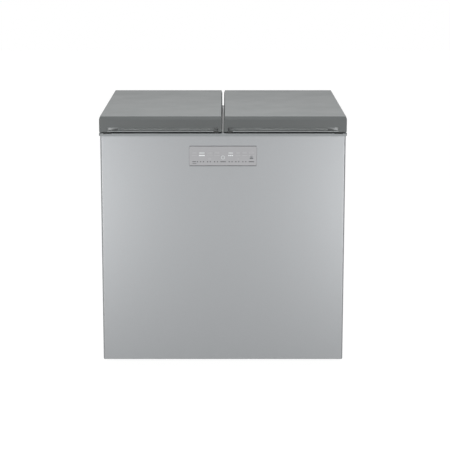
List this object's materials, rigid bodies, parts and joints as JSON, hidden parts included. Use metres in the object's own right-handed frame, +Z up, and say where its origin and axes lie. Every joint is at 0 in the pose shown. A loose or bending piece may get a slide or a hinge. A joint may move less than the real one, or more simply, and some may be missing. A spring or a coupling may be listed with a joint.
{
  "type": "kimchi refrigerator",
  "caption": "Free-standing chest kimchi refrigerator: insulated cabinet with paired top lids on rear hinges, deep wells with storage boxes, and a machine bay behind a rear grille.",
  "frame": {"origin": "on the floor, under the middle of the whole object's box", "axes": "+Z up, -Y towards the front panel, +X to the right as seen from the front"},
  "size_m": [0.665, 0.61, 0.7],
  "materials": {
    "panel_steel": "satin",
    "plain_steel": "satin",
    "bright_steel": "polished",
    "foam": "matte",
    "liner": "satin",
    "deck": "satin",
    "lid_cover": "satin",
    "handle_grip": "satin",
    "lid_pan": "satin",
    "gasket": "matte",
    "copper": "satin",
    "fins": "satin",
    "compressor": "satin",
    "dark_plastic": "matte",
    "case_plastic": "matte",
    "circuit_board": "satin",
    "window": "gloss",
    "box_body": "satin",
    "box_lid": "satin",
    "box_latch": "satin"
  },
  "bodies": {
    "cabinet": {"front_panel": "panel_steel", "side_panel_left": "panel_steel", "side_panel_right": "panel_steel", "back_panel": "plain_steel", "base_plate": "plain_steel", "cabinet_foam_left": "foam", "cabinet_foam_right": "foam", "well_liner_left": "liner", "well_liner_right": "liner", "top_deck": "deck", "bay_liner": "plain_steel", "rear_grille": "dark_plastic", "case_screws": "bright_steel", "evaporators": "copper", "compressor": "compressor", "compressor_grommets": "gasket", "compressor_bolts": "bright_steel", "relay_cover": "dark_plastic", "condenser_tube": "copper", "condenser_fins": "fins", "fan_frame": "dark_plastic", "fan_motor": "dark_plastic", "filter_drier": "copper", "liquid_line": "copper", "suction_line": "copper", "discharge_line": "copper", "control_box": "case_plastic", "control_board": "circuit_board", "cord_gland": "gasket", "display_housing": "dark_plastic", "display_board": "circuit_board", "display_lens": "window", "well_sensors": "lid_pan", "hinge_bases": "plain_steel", "hinge_pins": "bright_steel", "hinge_springs": "bright_steel", "hinge_covers": "dark_plastic", "roller_brackets": "plain_steel", "roller_axles": "bright_steel", "foot_nuts": "bright_steel", "storage_boxes": "box_body", "box_lids": "box_lid", "box_latches": "box_latch"},
    "fan_rotor": {"fan_rotor": "dark_plastic"},
    "roller_left": {"roller_left": "dark_plastic"},
    "roller_right": {"roller_right": "dark_plastic"},
    "foot_left": {"foot_left": "dark_plastic"},
    "foot_right": {"foot_right": "dark_plastic"},
    "lid_left": {"lid_cover_left": "lid_cover", "lid_pan_left": "lid_pan", "lid_foam_left": "foam", "lid_gasket_left": "gasket", "handle_grip_left": "handle_grip", "hinge_leaves_left": "plain_steel"},
    "lid_right": {"lid_cover_right": "lid_cover", "lid_pan_right": "lid_pan", "lid_foam_right": "foam", "lid_gasket_right": "gasket", "handle_grip_right": "handle_grip", "hinge_leaves_right": "plain_steel"}
  },
  "joints": [
    {"name": "lid_left_hinge", "type": "hinge", "parent": "cabinet", "child": "lid_left", "pos_m": [-0.16712, 0.291, 0.65], "axis": [-1, 0, 0], "range_deg": [0, 80]},
    {"name": "lid_right_hinge", "type": "hinge", "parent": "cabinet", "child": "lid_right", "pos_m": [0.16712, 0.291, 0.65], "axis": [-1, 0, 0], "range_deg": [0, 80]},
    {"name": "fan_spin", "type": "hinge", "parent": "cabinet", "child": "fan_rotor", "pos_m": [0.055, 0.1545, 0.1012], "axis": [1, 0, 0], "continuous": true},
    {"name": "roller_left_spin", "type": "hinge", "parent": "cabinet", "child": "roller_left", "pos_m": [-0.2595, 0.232, 0.011], "axis": [1, 0, 0], "continuous": true},
    {"name": "roller_right_spin", "type": "hinge", "parent": "cabinet", "child": "roller_right", "pos_m": [0.2595, 0.232, 0.011], "axis": [1, 0, 0], "continuous": true},
    {"name": "foot_left_slide", "type": "slide", "parent": "cabinet", "child": "foot_left", "axis": [0, 0, -1], "range_m": [0, 0.012]},
    {"name": "foot_right_slide", "type": "slide", "parent": "cabinet", "child": "foot_right", "axis": [0, 0, -1], "range_m": [0, 0.012]}
  ]
}
